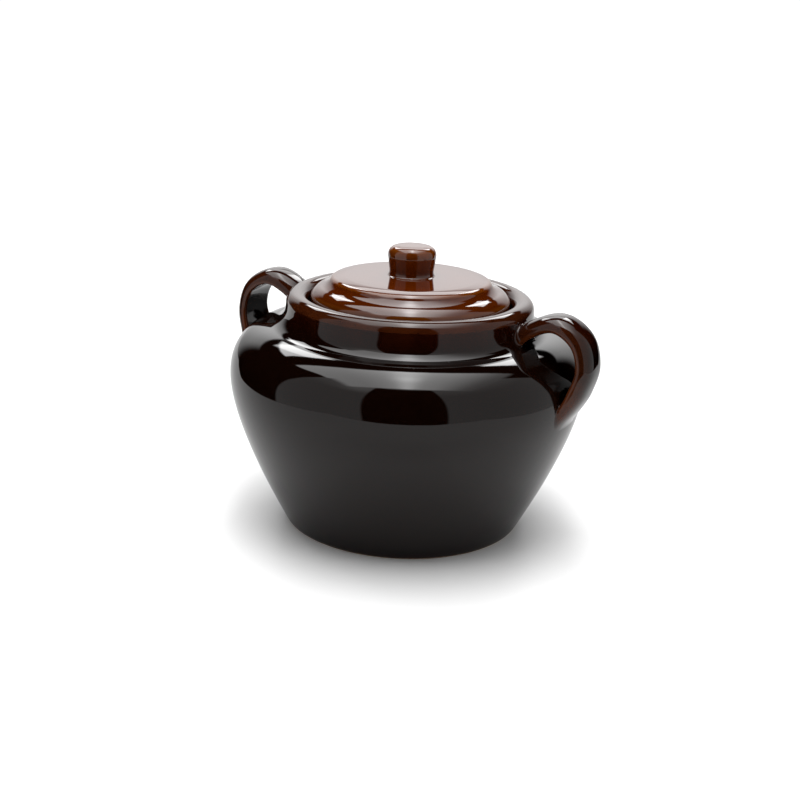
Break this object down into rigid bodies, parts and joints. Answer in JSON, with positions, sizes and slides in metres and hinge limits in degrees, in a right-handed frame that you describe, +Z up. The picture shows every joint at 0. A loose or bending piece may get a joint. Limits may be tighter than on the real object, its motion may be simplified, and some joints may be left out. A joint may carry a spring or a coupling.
{
  "type": "lidded fermenting crock",
  "caption": "Round-bellied glazed stoneware crock with side strap handles, a domed knobbed lid standing in a water channel, and loose half-moon weights.",
  "frame": {"origin": "centre of the foot, on the plane it stands on", "axes": "+Z up along the crock's axis, X through both handles with handle_right on +X, -Y towards the front"},
  "size_m": [0.276, 0.244, 0.1938],
  "materials": {
    "dark_glaze": "gloss, near-black brown, redder where thin",
    "amber_glaze": "gloss, translucent amber brown",
    "bare_stoneware": "matt, unglazed"
  },
  "bodies": {
    "crock": {"crock_body": "dark_glaze", "handle_left": "dark_glaze", "handle_right": "dark_glaze"},
    "lid": {"lid": "amber_glaze", "lid_knob": "amber_glaze"},
    "left_weight": {"weight_stone_left": "bare_stoneware"},
    "right_weight": {"weight_stone_right": "bare_stoneware"}
  },
  "joints": [
    {"name": "lid_lift", "type": "slide", "parent": "crock", "child": "lid", "axis": [0, 0, 1], "range_m": [0, 0.12]},
    {"name": "left_weight_lift", "type": "slide", "parent": "crock", "child": "left_weight", "axis": [0, 0, 1], "range_m": [0, 0.112]},
    {"name": "right_weight_lift", "type": "slide", "parent": "crock", "child": "right_weight", "axis": [0, 0, 1], "range_m": [0, 0.112]}
  ]
}
